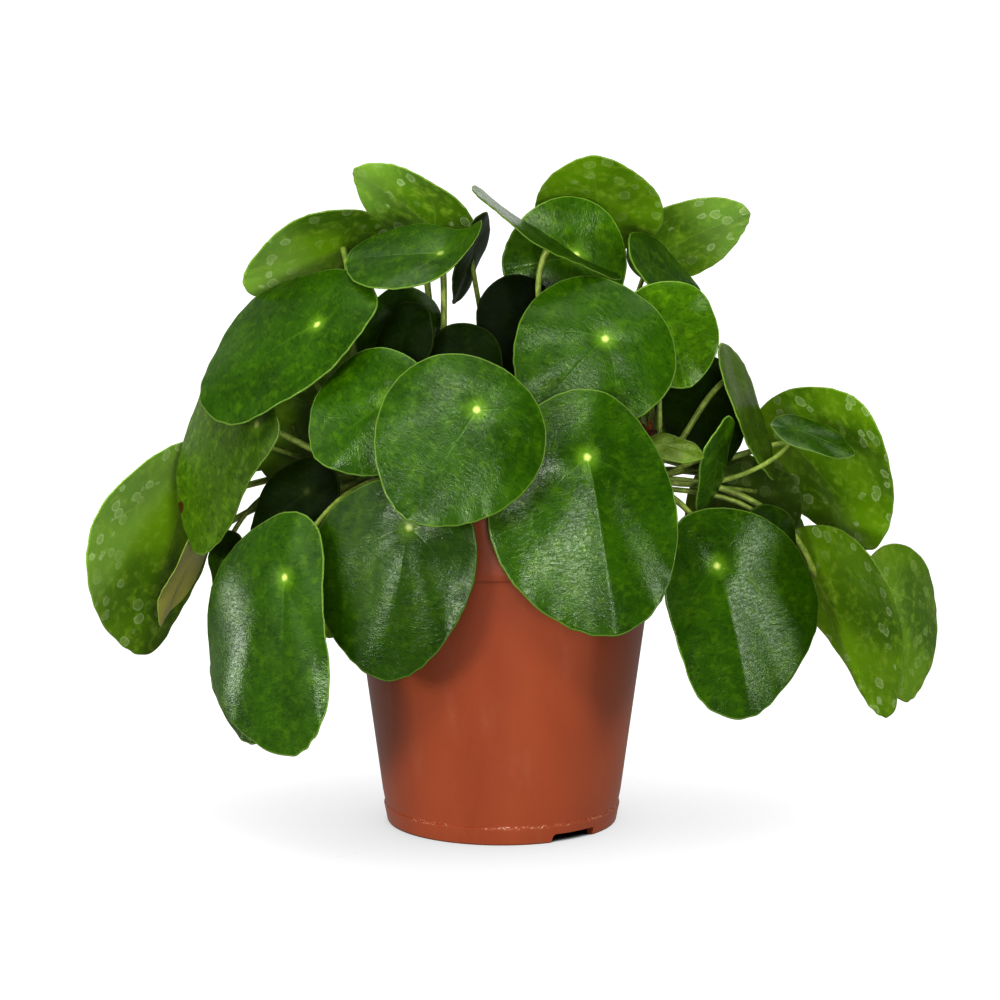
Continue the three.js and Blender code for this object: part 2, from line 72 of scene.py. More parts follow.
# name, stem, dot, (bearing, lift, turn), (length, width, seat), what isn't as usual
# form, in the CAD source's words: side, tip and base bend the blade back toward its edges, egg and
# lean form its outline, wave and waves curl its margin, arch, bow, swing, pull and push lead its stalk
# look: tone_and_painted_shading darkens or lightens the whole leaf, partly its own tone and mostly
# painted shade on the leaves inside the plant and painted light on some outer ones; pale tints the leaf,
# spots are dried drops, crease is the rise or dip of the midrib, reach how far out it goes, back how it
# returns further out, dot the strength of the pale dot, flip swaps the looks of the two faces, fade paints
# light and shade across it sideways and tipward, tan dries it
LEAVES = [
    ("front_top", "mid", (-9, -72, 169), (5, 22, -34), (64, 61, 0.29),
     dict(wave=0.5, side=5, base=2, crease=0.3)),
    ("front_right", "right", (31, -62, 150), (12, 18, 7), (88, 69, 0.29),
     dict(side=6, tip=7, base=3, lean=-4, egg=-0.06, wave=1.4, crease=-4.5, reach=24, back=1)),
    ("front_left", "left", (-34, -62, 124), (-15, 15, -8), (72, 63, 0.25),
     dict(side=5, tip=6, base=2, lean=-5, arch=10, bow=22, tone_and_painted_shading=0.75, crease=-1.2, reach=20, back=0.5)),
    ("low_left", "left", (-80, -54, 104), (-40, 12, 7), (87, 71, 0.28),
     dict(side=7, tip=5, base=3, lean=-16, egg=-0.08, arch=20, bow=36, crease=0.6)),
    ("low_right", "right", (80, -36, 105), (28, 15, 8), (77, 68, 0.28),
     dict(side=5, tip=5, base=2, lean=11, egg=0, arch=18, bow=36, crease=-2.8, reach=20, back=0.3)),
    ("upper_right", "mid", (38, -36, 190), (5, 30, -45), (60, 60, 0.38),
     dict(side=4, tip=4, base=2, wave=0.8, waves=6, crease=0.2)),
    ("mid_left", "left", (-42, -40, 168), (-15, 25, -50), (50, 48, 0.34),
     dict(side=4, tone_and_painted_shading=1.1, crease=0.6)),
    ("upper_left", "left", (-69, -17, 193), (-40, 42, -49), (77, 64, 0.32),
     dict(side=4, tip=6, base=2, lean=-6, egg=-0.14, crease=0.5)),
    ("left", "left", (-92, -15, 155), (-50, 15, -31), (68, 62, 0.16),
     dict(side=4, tip=4, lean=-18, egg=0, tone_and_painted_shading=0.85, pale=0.5, crease=-1.5, fade=(-0.2, 0.1))),
    ("crown_front", "mid", (28, 8, 216), (10, 15, -80), (46, 46, 0.42),
     dict(wave=0.4, side=3, swing=30, tone_and_painted_shading=1.4, pale=0.15, crease=0.5)),
    ("crown_left", "mid", (-23, -10, 219), (-22, 60, -80), (53, 39, 0.34),
     dict(side=1, tip=1, base=-11, egg=-0.3, wave=0.5, dot=0.5)),
    ("crown_edge", "right", (18, -13, 222), (88, 58, 0), (63, 38, 0.57),
     dict(side=0, tip=-3, base=-3, wave=0.5, tone_and_painted_shading=0.7, dot=0)),
    ("crown_dark", "mid", (-9, 6, 222), (70, -18, 0), (36, 27, 0.3),
     dict(side=1, tip=1, wave=0.5, pull=0.15, tone_and_painted_shading=0.5, dot=0)),
    ("back_top_left", "mid", (-25, 36, 224), (148, 35, 137), (54, 43, 0.32),
     dict(side=1, tip=1, wave=0.5, spots=1, dot=0.4, fade=(0, 0.15))),
    ("back_top_mid", "mid", (38, 28, 227), (175, 40, 176), (51, 48, 0.31),
     dict(side=2, tip=2, wave=0.4, pull=0.1, swing=60, spots=0.5, dot=0)),
    ("back_top_right", "right", (63, 46, 215), (-160, 37, -122), (49, 42, 0.31),
     dict(side=1, tip=1, wave=0.3, pull=0.2, swing=10, spots=1, dot=0.8, fade=(0, 0.2))),
    ("back_upper_left", "left", (-61, 30, 217), (-160, 42, 62), (57, 50, 0.32),
     dict(side=1, tip=2, wave=0.5, spots=1, dot=0.9, fade=(0, 0.25))),
    ("right_high", "right", (62, -16, 195), (20, 20, 10), (40, 40, 0.36),
     dict(side=3, tip=2, tone_and_painted_shading=1.4, pale=0.25, dot=0)),
    ("right_behind", "right", (57, 5, 213), (65, 35, 55), (44, 34, 0.3),
     dict(side=1, tip=1, wave=0.4, pull=0.15, swing=50, dot=0)),
    ("edge_right", "right", (88, 0, 171), (72, 20, 6), (54, 34, 0.25),
     dict(side=0, tip=0, wave=0.3, tone_and_painted_shading=1.2, dot=0, crease=0, tan=0.12)),
    ("small_right", "right", (110, -20, 154), (20, 62, 44), (33, 20, 0.3),
     dict(side=0.5, tip=1, wave=0.5, tone_and_painted_shading=0.8, dot=0)),
    ("back_right", "right", (112, 18, 143), (138, 20, -42), (67, 66, 0.27),
     dict(side=2, tip=3, lean=-11, bow=7, pull=0.15, swing=5, spots=1, dot=0.8, fade=(0, -0.05))),
    ("low_far_right", "right", (120, 2, 94), (134, 10, -30), (77, 50, 0.25),
     dict(side=3, tip=1, lean=-14, egg=0.3, wave=0.6, arch=28, bow=44, pull=0.2, tone_and_painted_shading=0.75, spots=1,
          dot=0.8)),
    ("rim_right", "right", (151, 20, 84), (50, 10, 10), (60, 54, 0.3),
     dict(side=3, lean=5, wave=0.4, arch=30, bow=48, swing=20, tone_and_painted_shading=0.75, flip=1, spots=0.5, dot=0)),
    ("spear_right", "right", (81, -24, 142), (64, -16, 10), (40, 26, 0.45),
     dict(side=2, tip=2, wave=0.5, tone_and_painted_shading=1.25, dot=0)),
    ("dull_right", "right", (97, 14, 125), (170, 15, 0), (38, 36, 0.33),
     dict(side=2, arch=-4, bow=8, swing=45, tone_and_painted_shading=0.5, spots=0.6, dot=0)),
    ("shade_right", "right", (101, -13, 113), (30, 15, 0), (34, 26, 0.33),
     dict(side=2, arch=14, bow=20, pull=0.1, swing=-10, tone_and_painted_shading=0.5, dot=0)),
    ("young_right", "right", (60, -37, 151), (10, 62, 60), (22, 16, 0.33),
     dict(side=1, tip=1, wave=0.3, tone_and_painted_shading=0.9, pale=1, dot=0, tan=0.12)),
    ("shade_right_high", "right", (76, 12, 164), (20, 25, 0), (46, 36, 0.33), dict(tone_and_painted_shading=0.35, dot=0)),
    ("far_left", "left", (-126, 48, 114), (-138, 15, 10), (87, 65, 0.31),
     dict(side=3, tip=3, base=2, lean=12, arch=8, bow=18, swing=-8, spots=1, dot=0, fade=(0.5, -0.25))),
    ("low_left_behind", "left", (-91, -24, 82), (-50, 10, 0), (64, 54, 0.3),
     dict(lean=-4, egg=-0.2, arch=28, bow=54, dot=0)),
    ("edge_left", "left", (-117, 20, 103), (-118, 33, 0), (60, 24, 0.4),
     dict(side=1, arch=17, bow=36, dot=0, tan=1)),
    ("shade_left_low", "left", (-106, 4, 104), (-40, 20, 0), (22, 18, 0.33),
     dict(arch=19, bow=41, swing=16, tone_and_painted_shading=0.6, dot=0)),
    ("shade_left_high", "left", (-106, 12, 148), (-65, 20, 0), (44, 42, 0.33), dict(tone_and_painted_shading=0.7, dot=0)),
    ("shade_left", "left", (-73, -24, 131), (-25, 20, -45), (40, 30, 0.32), dict(tone_and_painted_shading=0.18, dot=0.4)),
    ("olive_left", "left", (-80, 22, 149), (180, 30, 0), (44, 32, 0.33), dict(swing=25, tone_and_painted_shading=0.8, dot=0)),
    ("shade_mid", "mid", (-36, -20, 190), (-30, 20, -10), (34, 23, 0.36), dict(side=2, tone_and_painted_shading=0.22, dot=0)),
    ("shade_mid_low", "mid", (-14, -20, 183), (0, 22, 0), (34, 28, 0.33), dict(side=2, tone_and_painted_shading=0.25, dot=0)),
    ("shade_crown", "mid", (6, -8, 196), (10, 12, 0), (40, 30, 0.36), dict(tone_and_painted_shading=0.12, dot=0)),
    ("green_mid", "mid", (-39, 9, 192), (-15, 35, 0), (42, 33, 0.33), dict(tone_and_painted_shading=0.8, dot=0)),
    ("behind_1", "left", (-78, 58, 168), (-145, 35, 5), (72, 64, 0.31), dict(side=5, tip=5)),
    ("behind_2", "mid", (-6, 50, 158), (180, 50, 10), (56, 56, 0.31), dict(side=4, tip=4)),
    ("behind_3", "right", (58, 58, 175), (150, 32, -10), (70, 62, 0.31), dict(side=5, tip=5)),
    ("behind_4", "left", (-60, 64, 110), (-150, 15, 5), (74, 64, 0.3),
     dict(side=6, tip=5, arch=10, bow=26)),
    ("behind_5", "mid", (-44, 84, 124), (-168, 20, -8), (72, 62, 0.3), dict(side=6, tip=6, arch=8, bow=20)),
    ("behind_6", "mid", (32, 86, 124), (170, 16, 6), (72, 62, 0.3), dict(side=6, tip=6, arch=8, bow=20)),
    ("behind_7", "right", (98, 60, 112), (136, 16, -5), (72, 62, 0.3),
     dict(side=6, tip=5, arch=10, bow=26, swing=40)),
]

USUAL = dict(side=3, tip=3, base=1, lean=0, egg=0.13, wave=1, waves=5, arch=0, bow=0, swing=0,
             pull=0.33, push=0.3, tone_and_painted_shading=1, pale=0, spots=0, crease=1, reach=14, back=0, dot=1,
             flip=0, fade=(0, 0), tan=0)

# The brown scar on the leaf named left: sideways and tipward from its dot
LEFT_SCAR = (-17.3, 53.4)
# Distances given to points that have no margin or scar near them
NO_RIM, NO_SCAR = 30.0, 40.0
# The blade's own map spans this much, with the dot in its middle
MAP_SPAN = 100.0


# Meshes

def unit(v):
    v = np.asarray(v, float)
    return v / np.linalg.norm(v)


def turned_about_z(v, degrees):
    c, s = math.cos(math.radians(degrees)), math.sin(math.radians(degrees))
    return np.array([v[0] * c - v[1] * s, v[0] * s + v[1] * c, v[2]])


def mesh_object(name, points, faces, materials, groups=None, smooth=True):
    """points in millimetres from the pot's axis; faces as lists; groups: material index of each face."""
    data = bpy.data.meshes.new(name)
    moved = (np.asarray(points, float) + (AXIS_X, AXIS_Y, 0)) * MM
    data.from_pydata(moved.tolist(), [], faces)
    data.validate()
    for m in materials:
        data.materials.append(m)
    if groups is not None:
        data.polygons.foreach_set("material_index", groups)
    data.polygons.foreach_set("use_smooth", [smooth] * len(data.polygons))
    data.update()
    thing = bpy.data.objects.new(name, data)
    bpy.context.collection.objects.link(thing)
    return thing


def bezier(p0, p1, p2, p3, t):
    """The point of the curve at t, or a row of points for a column of values."""
    return p0 * (1 - t) ** 3 + 3 * p1 * t * (1 - t) ** 2 + 3 * p2 * t ** 2 * (1 - t) + p3 * t ** 3


def circle(radius, sides, middle=(0, 0)):
    turns = [i / sides * TURN for i in range(sides)]
    return [(middle[0] + radius * math.cos(a), middle[1] + radius * math.sin(a)) for a in turns]


def bands(start, rows, sides):
    """Faces between rings of points that follow each other."""
    faces = []
    for j in range(rows - 1):
        for i in range(sides):
            a, b = start + j * sides + i, start + j * sides + (i + 1) % sides
            faces.append((a, b, b + sides, a + sides))
    return faces


def tube(centres, radii, sides, first, last=None, start=0, wobble=None):
    """Rings of points round a line, closed by a fan at both ends. first and last are end directions."""
    n = len(centres)
    tangent = np.gradient(centres, axis=0)
    tangent[0] = first
    if last is not None:
        tangent[-1] = last
    tangent /= np.linalg.norm(tangent, axis=1)[:, None]
    side = np.array([0, 0, 1.0]) if abs(tangent[0][2]) < 0.8 else np.array([1.0, 0, 0])
    points = []
    turn = np.arange(sides) / sides * TURN
    for i in range(n):
        side = unit(side - tangent[i] * side.dot(tangent[i]))
        other = np.cross(tangent[i], side)
        r = radii[i] * np.ones(sides)
        if wobble is not None:
            r = r * wobble(i, turn)
        for k in range(sides):
            points.append(centres[i] + side * r[k] * math.cos(turn[k]) + other * r[k] * math.sin(turn[k]))
    points += [centres[0], centres[-1]]
    faces = bands(start, n, sides)
    head, tail, last_ring = start + n * sides, start + n * sides + 1, start + (n - 1) * sides
    for k in range(sides):
        m = (k + 1) % sides
        faces.append((head, start + m, start + k))
        faces.append((tail, last_ring + k, last_ring + m))
    return points, faces


def ripple(u, v, seed, size, count=8):
    """A smooth uneven pattern between about -1 and 1, with bumps about size apart."""
    rng = np.random.default_rng(seed)
    total = 0
    for _ in range(count):
        a = rng.uniform(0, TURN)
        k = TURN / (size * rng.uniform(0.7, 1.6))
        total = total + np.sin(k * (u * math.cos(a) + v * math.sin(a)) + rng.uniform(0, TURN))
    return total / math.sqrt(count) / 1.4


# Stems

def stem_point(key, t):
    (x, y), top, _ = STEMS[key]
    foot, top = np.array([x, y, SOIL_LEVEL], float), np.array(top, float)
    rise = (top[2] - foot[2]) * 0.45
    return bezier(foot, foot + (0, 0, rise), top - (0, 0, rise * 0.7), top, t)


def sockets():
    """Where each stalk leaves its stem: the stem's middle, the direction out of it and its radius."""
    found = {}
    for key, (_, _, radius) in STEMS.items():
        own = sorted((leaf for leaf in LEAVES if leaf[1] == key), key=lambda leaf: leaf[2][2])
        for i, (name, _, dot, _, _, form) in enumerate(own):
            t = FIRST_SEAT + SEAT_SPAN * i / (len(own) - 1)
            centre = stem_point(key, t)
            along = unit(stem_point(key, min(t + 0.02, 1)) - stem_point(key, t - 0.02))
            away = unit(np.array([dot[0], dot[1], centre[2]], float) - centre)
            away = turned_about_z(away, form.get("swing", 0))
            away = unit(away - along * away.dot(along))
            found[name] = (centre, away, radius * (1 - STEM_TAPER * t))
    return found


# Leaves

def leaf_axes(angles):
    """The blade's normal, and its directions toward the tip and sideways."""
    b, e, r = (math.radians(a) for a in angles)
    out = np.array([math.sin(b), -math.cos(b), 0])
    normal = out * math.cos(e) + np.array([0, 0, math.sin(e)])
    down = out * math.sin(e) - np.array([0, 0, math.cos(e)])
    level = np.cross(normal, down)
    tipward = down * math.cos(r) + level * math.sin(r)
    sideways = level * math.cos(r) - down * math.sin(r)
    return normal, tipward, sideways


def blade_outline(size, form, seed, angle, share):
    """Where a point lies across and along, and its share of the way out, with the margin's lobes."""
    long, wide, seat = size
    c, s = np.cos(angle), np.sin(angle)
    lobes = BIG_LOBES if long > BIG_LEAF else SMALL_LOBES
    lobe = np.sin(lobes * angle + 1.5 * np.sin(7 * angle + seed))
    share = share * (1 + LOBE_DEPTH * lobe * share ** 10)
    v = share * long * (0.5 - seat + 0.5 * c + 0.03 * np.maximum(0, c) ** 10)
    u = share * ((wide / 2) * s * (1 - form["egg"] * c) + form["lean"] * s * s)
    return u, v, share


def crease(form, u, v, share):
    """The rise or dip of the blade along its midrib, from the dot toward the tip."""
    softness = 0.18
    beside = np.abs(u) / form["reach"]
    flank = 1 - form["back"] * (beside - 1)
    risen = -softness * np.logaddexp(-beside / softness, -flank / softness)
    tipward = np.clip(v / 10 + 0.2, 0, 1)
    return form["crease"] * tipward * (risen - 0.35) * np.clip(1.4 - share, 0, 1)


def blade_height(size, form, seed, angle, share):
    """Where a point of the blade lies: across, along and above its plane, in millimetres."""
    long, wide, seat = size
    u, v, share = blade_outline(size, form, seed, angle, share)
    across = u / (wide / 2)
    along = np.where(v > 0, v / (long * (1 - seat)), v / (long * seat))
    h = -(form["side"] * across ** 2 + np.where(v > 0, form["tip"], form["base"]) * along ** 2)
    h = h + form["wave"] * share ** 2 * np.sin(form["waves"] * angle + long)
    h = h - DOT_DIP * np.exp(-(u * u + v * v) / 40)
    # Finer relief: a crease on the midrib, an uneven face, a nicked margin
    h = h + crease(form, u, v, share)
    h = h + RIPPLE_HEIGHT * ripple(u, v, seed, RIPPLE_SIZE) * np.clip(np.hypot(u, v) / 6, 0, 1)
    h = h + long / NICK_PART * np.sin(NICKS * angle + 2 * np.sin(5 * angle + seed)) * share ** 14
    return u, v, h


def blade_faces(rows, sectors):
    """Faces of an upper and a lower sheet of rings, joined by the ring of points on their edge."""
    n = rows * sectors
    edge, outer = 2 * n, n - sectors
    seat_top, seat_low = edge + sectors, edge + sectors + 1
    faces = []
    for i in range(sectors):
        k = (i + 1) % sectors
        faces.append((seat_top, i, k))
        faces.append((seat_low, n + k, n + i))
        for a in range(0, outer, sectors):
            b = a + sectors
            faces.append((a + i, b + i, b + k, a + k))
            faces.append((n + a + i, n + a + k, n + b + k, n + b + i))
        faces.append((outer + i, edge + i, edge + k, outer + k))
        faces.append((n + outer + i, n + outer + k, edge + k, edge + i))
    return faces


def blade_mesh(at, axes, size, form, seed):
    """Points and faces of a blade; for each point its distance from the margin, its face (1 is the
    upper one, 0 the lower) and its place across and along."""
    normal, tipward, sideways = axes
    sectors, rings = BIG_MESH if size[0] > BIG_LEAF else SMALL_MESH
    angle = np.arange(sectors) / sectors * TURN
    angle = angle - 0.45 * np.sin(angle)
    shares = np.array([0.02] + [i / rings for i in range(1, rings)] + [0.985, 1.0])
    turns, outward = np.meshgrid(angle, shares)

    def place_points(a, s, lift):
        u, v, h = blade_height(size, form, seed, a, s)
        p = at + sideways * u[..., None] + tipward * v[..., None] + normal * (h + lift)[..., None]
        return p.reshape(-1, 3), u.reshape(-1), v.reshape(-1)

    _, u, v = place_points(angle, np.ones(sectors), 0)
    full = np.hypot(u, v)
    half = BLADE / 2 * (1 - 0.35 * np.clip((outward - 0.8) / 0.2, 0, 1) ** 2)
    zero = np.zeros(1)
    sheets = [place_points(turns, outward, half), place_points(turns, outward, -half),
              place_points(angle, 1 + 0.28 / full, np.zeros(sectors)),
              place_points(zero, zero, zero + BLADE / 2), place_points(zero, zero, zero - BLADE / 2)]
    points, across, along = (np.concatenate(part) for part in zip(*sheets))
    inward = ((1 - outward) * full[None, :]).reshape(-1)
    rim = np.concatenate([inward, inward, np.zeros(sectors), [full.mean()] * 2])
    n = len(inward)
    side = np.concatenate([np.ones(n), np.zeros(n), np.full(sectors, 0.5), [1.0, 0.0]])
    side = np.abs(side - form["flip"])
    return points, blade_faces(len(shares), sectors), rim, side, np.stack([across, along], axis=1)


def stalk_mesh(at, normal, size, form, socket, seed, start):
    """The stalk, from its seat in the underside to its stem, with a small flare at each end."""
    centre, away, radius = socket
    seat, foot = at - normal * DOT_DIP, centre + away * (radius + STALK_GAP)
    far = np.linalg.norm(seat - foot)
    t = np.linspace(0, 1, STALK_STEPS)
    line = bezier(seat, seat - normal * far * form["pull"] + (0, 0, form["bow"]),
                  foot + away * far * form["push"] + (0, 0, form["arch"]), foot, t[:, None])
    thick = BIG_STALK if size[0] > BIG_LEAF else SMALL_STALK
    radii = thick * (0.84 + 0.24 * t) * (1 + 0.55 * np.exp(-t * 28) + 0.22 * np.exp(-(1 - t) * 16))
    radii = radii * (1 + 0.03 * np.sin(t * 23 + seed))
    points, faces = tube(line, radii, STALK_SIDES, -normal, -away, start=start)
    return points, faces, np.concatenate([np.repeat(t, STALK_SIDES), [0, 1]])


def leaf_piece(leaf, socket, materials, seed):
    name, _, at, angles, size, unusual = leaf
    form = {**USUAL, **unusual}
    at, axes = np.array(at, float), leaf_axes(angles)
    points, faces, rim, side, uv = blade_mesh(at, axes, size, form, seed)
    more, sides, along = stalk_mesh(at, axes[0], size, form, socket, seed, len(points))
    groups = [0] * len(faces) + [1] * len(sides)
    thing = mesh_object("blade_" + name, np.concatenate([points, more]), faces + sides, materials, groups)
    data = thing.data

    def attribute(label, on_blade, on_stalk):
        values = np.empty(len(points) + len(more), np.float32)
        values[:len(points)], values[len(points):] = on_blade, on_stalk
        layer = data.attributes.new(label, "FLOAT", "POINT")
        layer.data.foreach_set("value", values)

    attribute("rim", rim, NO_RIM)
    attribute("side", side, 0.0)
    attribute("along", 0.0, along)
    from_scar = np.hypot(uv[:, 0] - LEFT_SCAR[0], uv[:, 1] - LEFT_SCAR[1])
    attribute("scar", from_scar if name == "left" else NO_SCAR, NO_SCAR)
    for label in ("pale", "spots", "dot", "tan"):
        attribute(label, form[label], form[label])
    # fade paints light and shade across the blade: lighter where lean is above 0, darker where it is below;
    # the lighter part also gets a pale painted light tint
    lean = uv @ np.array(form["fade"]) / (size[0] / 2)
    attribute("tone_and_painted_shading", form["tone_and_painted_shading"] * (1 + lean), form["tone_and_painted_shading"])
    attribute("painted_light_tint", np.clip(lean, 0, 1), 0.0)
    attribute("seed", seed * 7.3, seed * 7.3)
    uv = np.concatenate([uv, np.zeros((len(more), 2))]) / MAP_SPAN + 0.5
    loops = np.empty(len(data.loops), np.int32)
    data.loops.foreach_get("vertex_index", loops)
    layer = data.uv_layers.new(name="blade")
    layer.data.foreach_set("uv", uv[loops].reshape(-1))
    return thing


# Materials. Noise and cell scales count bumps in a metre, or in a millimetre of a leaf's own places

GREEN = dict(
    deep="#2b4c02", deep_light="#365a03", cloud="#476c06", fresh="#5b7d07", young="#7b9b1c",
    pale="#6f8a12", vein="#1f4206", vein_inner="#6a9336", hollow="#142c02", grain="#436f0a",
    halo="#7da32a", dot="#c9d383", under="#587d08", under_light="#789f10", under_patch="#96b23c",
    under_vein="#88a040", painted_light_tint="#8fae62", dry="#aaa65e", drop="#b4c596", margin="#7f9a48",
    scar="#4a2a10", stalk="#7f9440", stalk_light="#a2b15c", stalk_foot="#8a7f45", stalk_speck="#6d5a30")
BROWN = dict(
    bark="#4e3420", bark_light="#86613c", bark_ring="#2f1f13", husk="#5c2c17", husk_light="#a8663c",
    soil="#1b120c", soil_light="#3e2a1b", soil_bit="#7d6a52", soil_damp="#2a1d14",
    pot="#914929", pot_light="#9c512d", pot_grain="#a05c38", dust="#b0836a", lime="#d9c3b4",
    speck="#3a1a0e")


def linear(hexa):
    out = []
    for i in (1, 3, 5):
        c = int(hexa[i:i + 2], 16) / 255
        out.append(c / 12.92 if c <= 0.04045 else ((c + 0.055) / 1.055) ** 2.4)
    return (*out, 1.0)


class Nodes:
    """Short forms for the shader nodes used below. A colour may be given as its hexadecimal text."""

    def __init__(self, owner):
        owner.use_nodes = True
        self.owner, self.tree = owner, owner.node_tree

    def put(self, socket, value):
        if isinstance(value, bpy.types.NodeSocket):
            self.tree.links.new(value, socket)
        else:
            socket.default_value = linear(value) if isinstance(value, str) else value

    def node(self, kind, *values, **settings):
        """A node with these settings, its first inputs set or linked to these values."""
        n = self.tree.nodes.new("ShaderNode" + kind)
        for key, value in settings.items():
            setattr(n, key, value)
        for socket, value in zip(n.inputs, values):
            self.put(socket, value)
        return n

    def named(self, kind, settings, **values):
        """A node with these settings, its inputs of these names set or linked."""
        n = self.node(kind, **settings)
        for key, value in values.items():
            self.put(n.inputs[key.replace("_", " ")], value)
        return n

    def math(self, operation, a, b=0, clamp=False):
        return self.node("Math", a, b, operation=operation, use_clamp=clamp).outputs[0]

    def plus(self, a, b, clamp=False):
        return self.math("ADD", a, b, clamp)

    def minus(self, a, b):
        return self.math("SUBTRACT", a, b)

    def times(self, a, b, clamp=False):
        return self.math("MULTIPLY", a, b, clamp)

    def vector(self, operation, *values):
        return self.node("VectorMath", *values, operation=operation).outputs[0]

    def scaled(self, vector, x, y, z):
        return self.vector("MULTIPLY", vector, (x, y, z))

    def parts(self, kind, value):
        """The three parts of a vector (kind XYZ) or of a colour (kind Color)."""
        return self.node("Separate" + kind, value).outputs

    def alike(self, kind, value):
        """A vector or colour with the same value in its three parts."""
        return self.node("Combine" + kind, value, value, value).outputs[0]

    def spread(self, value, low, high, to_low, to_high, kind="LINEAR"):
        n = self.named("MapRange", dict(interpolation_type=kind), Value=value, From_Min=low,
                       From_Max=high, To_Min=to_low, To_Max=to_high)
        return n.outputs["Result"]

    def ramp(self, value, low, high, to_low, to_high):
        return self.spread(value, low, high, to_low, to_high, "SMOOTHSTEP")

    def step(self, value, low, high):
        """0 at low, 1 at high, smooth between. high may be the lower of the two."""
        if high < low:
            return self.ramp(value, high, low, 1, 0)
        return self.ramp(value, low, high, 0, 1)

    def mix(self, factor, a, b, blend="MIX"):
        n = self.node("Mix", factor, data_type="RGBA", blend_type=blend)
        self.put(n.inputs[6], a)
        self.put(n.inputs[7], b)
        return n.outputs[2]

    def tinted(self, colour, target, where, most):
        """The colour turned toward the target where the pattern is 1, by this share at most."""
        return self.mix(self.times(where, most), colour, target)

    def value(self, label):
        return self.node("Attribute", attribute_type="GEOMETRY", attribute_name=label).outputs["Fac"]

    def place(self):
        return self.node("TexCoord").outputs["Object"]

    def noise(self, vector, scale, detail=2, rough=0.5, distortion=0, output="Fac"):
        n = self.named("TexNoise", {}, Vector=vector, Scale=scale, Detail=detail,
                       Roughness=rough, Distortion=distortion)
        return n.outputs[output]

    def warped(self, vector, scale, amount):
        """The place, moved about by up to half the amount in each direction."""
        return self.vector("MULTIPLY_ADD", self.noise(vector, scale, output="Color"), (amount,) * 3, vector)

    def cells(self, vector, scale):
        return self.named("TexVoronoi", {}, Vector=vector, Scale=scale).outputs

    def bump(self, height, strength, distance):
        n = self.named("Bump", {}, Strength=strength, Distance=distance, Height=height)
        return n.outputs["Normal"]

    def finish(self, colour, roughness, normal, specular):
        shader = self.tree.nodes["Principled BSDF"].inputs
        self.put(shader["Base Color"], colour)
        self.put(shader["Roughness"], roughness)
        self.put(shader["Normal"], normal)
        shader["Specular IOR Level"].default_value = specular
        return self.owner


def material(name):
    return Nodes(bpy.data.materials.new(name))


def leaf_nodes(name):
    """The nodes of a leaf, with the patterns that its looks share. Its own places are in millimetres
    from the dot: u across, v toward the tip, far away from it."""
    n = material(name)
    n.at = n.place()
    uv = n.node("UVMap", uv_map="blade").outputs["UV"]
    own = n.vector("MULTIPLY_ADD", uv, (MAP_SPAN, MAP_SPAN, 0), (-MAP_SPAN / 2, -MAP_SPAN / 2, 0))
    n.u, n.v, _ = n.parts("XYZ", own)
    n.far = n.math("SQRT", n.plus(n.times(n.u, n.u), n.times(n.v, n.v)))
    shifted = n.vector("ADD", own, n.alike("XYZ", n.value("seed")))
    n.wrinkle = n.noise(n.scaled(shifted, 0.5, 1, 1), 0.8, 3, 0.6, 0.9)
    n.grain = n.noise(n.at, 900, 3, 0.6)
    n.patch = n.step(n.noise(n.at, 250, 2, 0.55, 0.3), 0.44, 0.78)
    n.broad = n.step(n.noise(n.at, 34, 1, 0.5), 0.35, 0.65)
    n.side, n.rim, n.tone_and_painted_shading = n.value("side"), n.value("rim"), n.value("tone_and_painted_shading")
    n.vein = veins(n)
    return n


def veins(n):
    """The midrib, a pair that curves toward the tip, and a pair toward the base."""
    bent = n.minus(n.plus(n.u, n.times(n.noise(n.at, 30, 1), 1.6)), 0.8)
    angle = n.math("ABSOLUTE", n.math("ARCTAN2", bent, n.v))
    curve = n.minus(1.12, n.times(n.far, 0.009))
    total = 0
    # Angle from the midrib, half width, where it has faded and where it starts to, strength
    for turn, wide, end, start, strength in ((0, 0.75, 46, 8, 1), (curve, 0.7, 26, 4, 0.8),
                                             (2.2, 0.7, 16, 3, 0.6)):
        beside = n.times(n.far, n.math("ABSOLUTE", n.minus(angle, turn)))
        line = n.times(n.step(beside, wide, 0.1), n.step(n.far, end, start))
        total = n.math("MAXIMUM", total, n.times(line, strength))
    return total


def upper_face(n):
    pale, seat = n.value("pale"), n.value("dot")
    cloud = n.step(n.noise(n.at, 95, 1, 0.5), 0.42, 0.7)
    deep = n.mix(n.broad, GREEN["deep"], GREEN["deep_light"])
    deep = n.tinted(deep, GREEN["cloud"], cloud, 0.4)
    fresh = n.mix(pale, GREEN["fresh"], GREEN["young"])
    amount = n.times(n.patch, n.spread(pale, 0, 1, 0.5, 0.9), clamp=True)
    colour = n.mix(amount, deep, fresh)
    colour = n.tinted(colour, GREEN["pale"], pale, 0.6)
    # Veins: pale near the dot; further out darker, partly their own colour and partly painted shade in
    # their grooves
    line = n.mix(n.step(n.far, 34, 10), GREEN["vein"], GREEN["vein_inner"])
    colour = n.tinted(colour, line, n.vein, 0.18)
    # Painted shade in the hollows of the wrinkles
    colour = n.tinted(colour, GREEN["hollow"], n.step(n.wrinkle, 0.52, 0.36), 0.35)
    colour = n.mix(n.spread(n.grain, 0.35, 0.7, 0, 0.22), colour, GREEN["grain"])
    halo = n.step(n.plus(n.far, n.times(n.grain, 1.6)), 7.4, 1.2)
    colour = n.tinted(colour, GREEN["halo"], n.times(halo, 0.6), seat)
    dot = n.step(n.plus(n.far, n.grain), 2.5, 0.9)
    return n.tinted(colour, GREEN["dot"], n.times(dot, 0.9), seat)


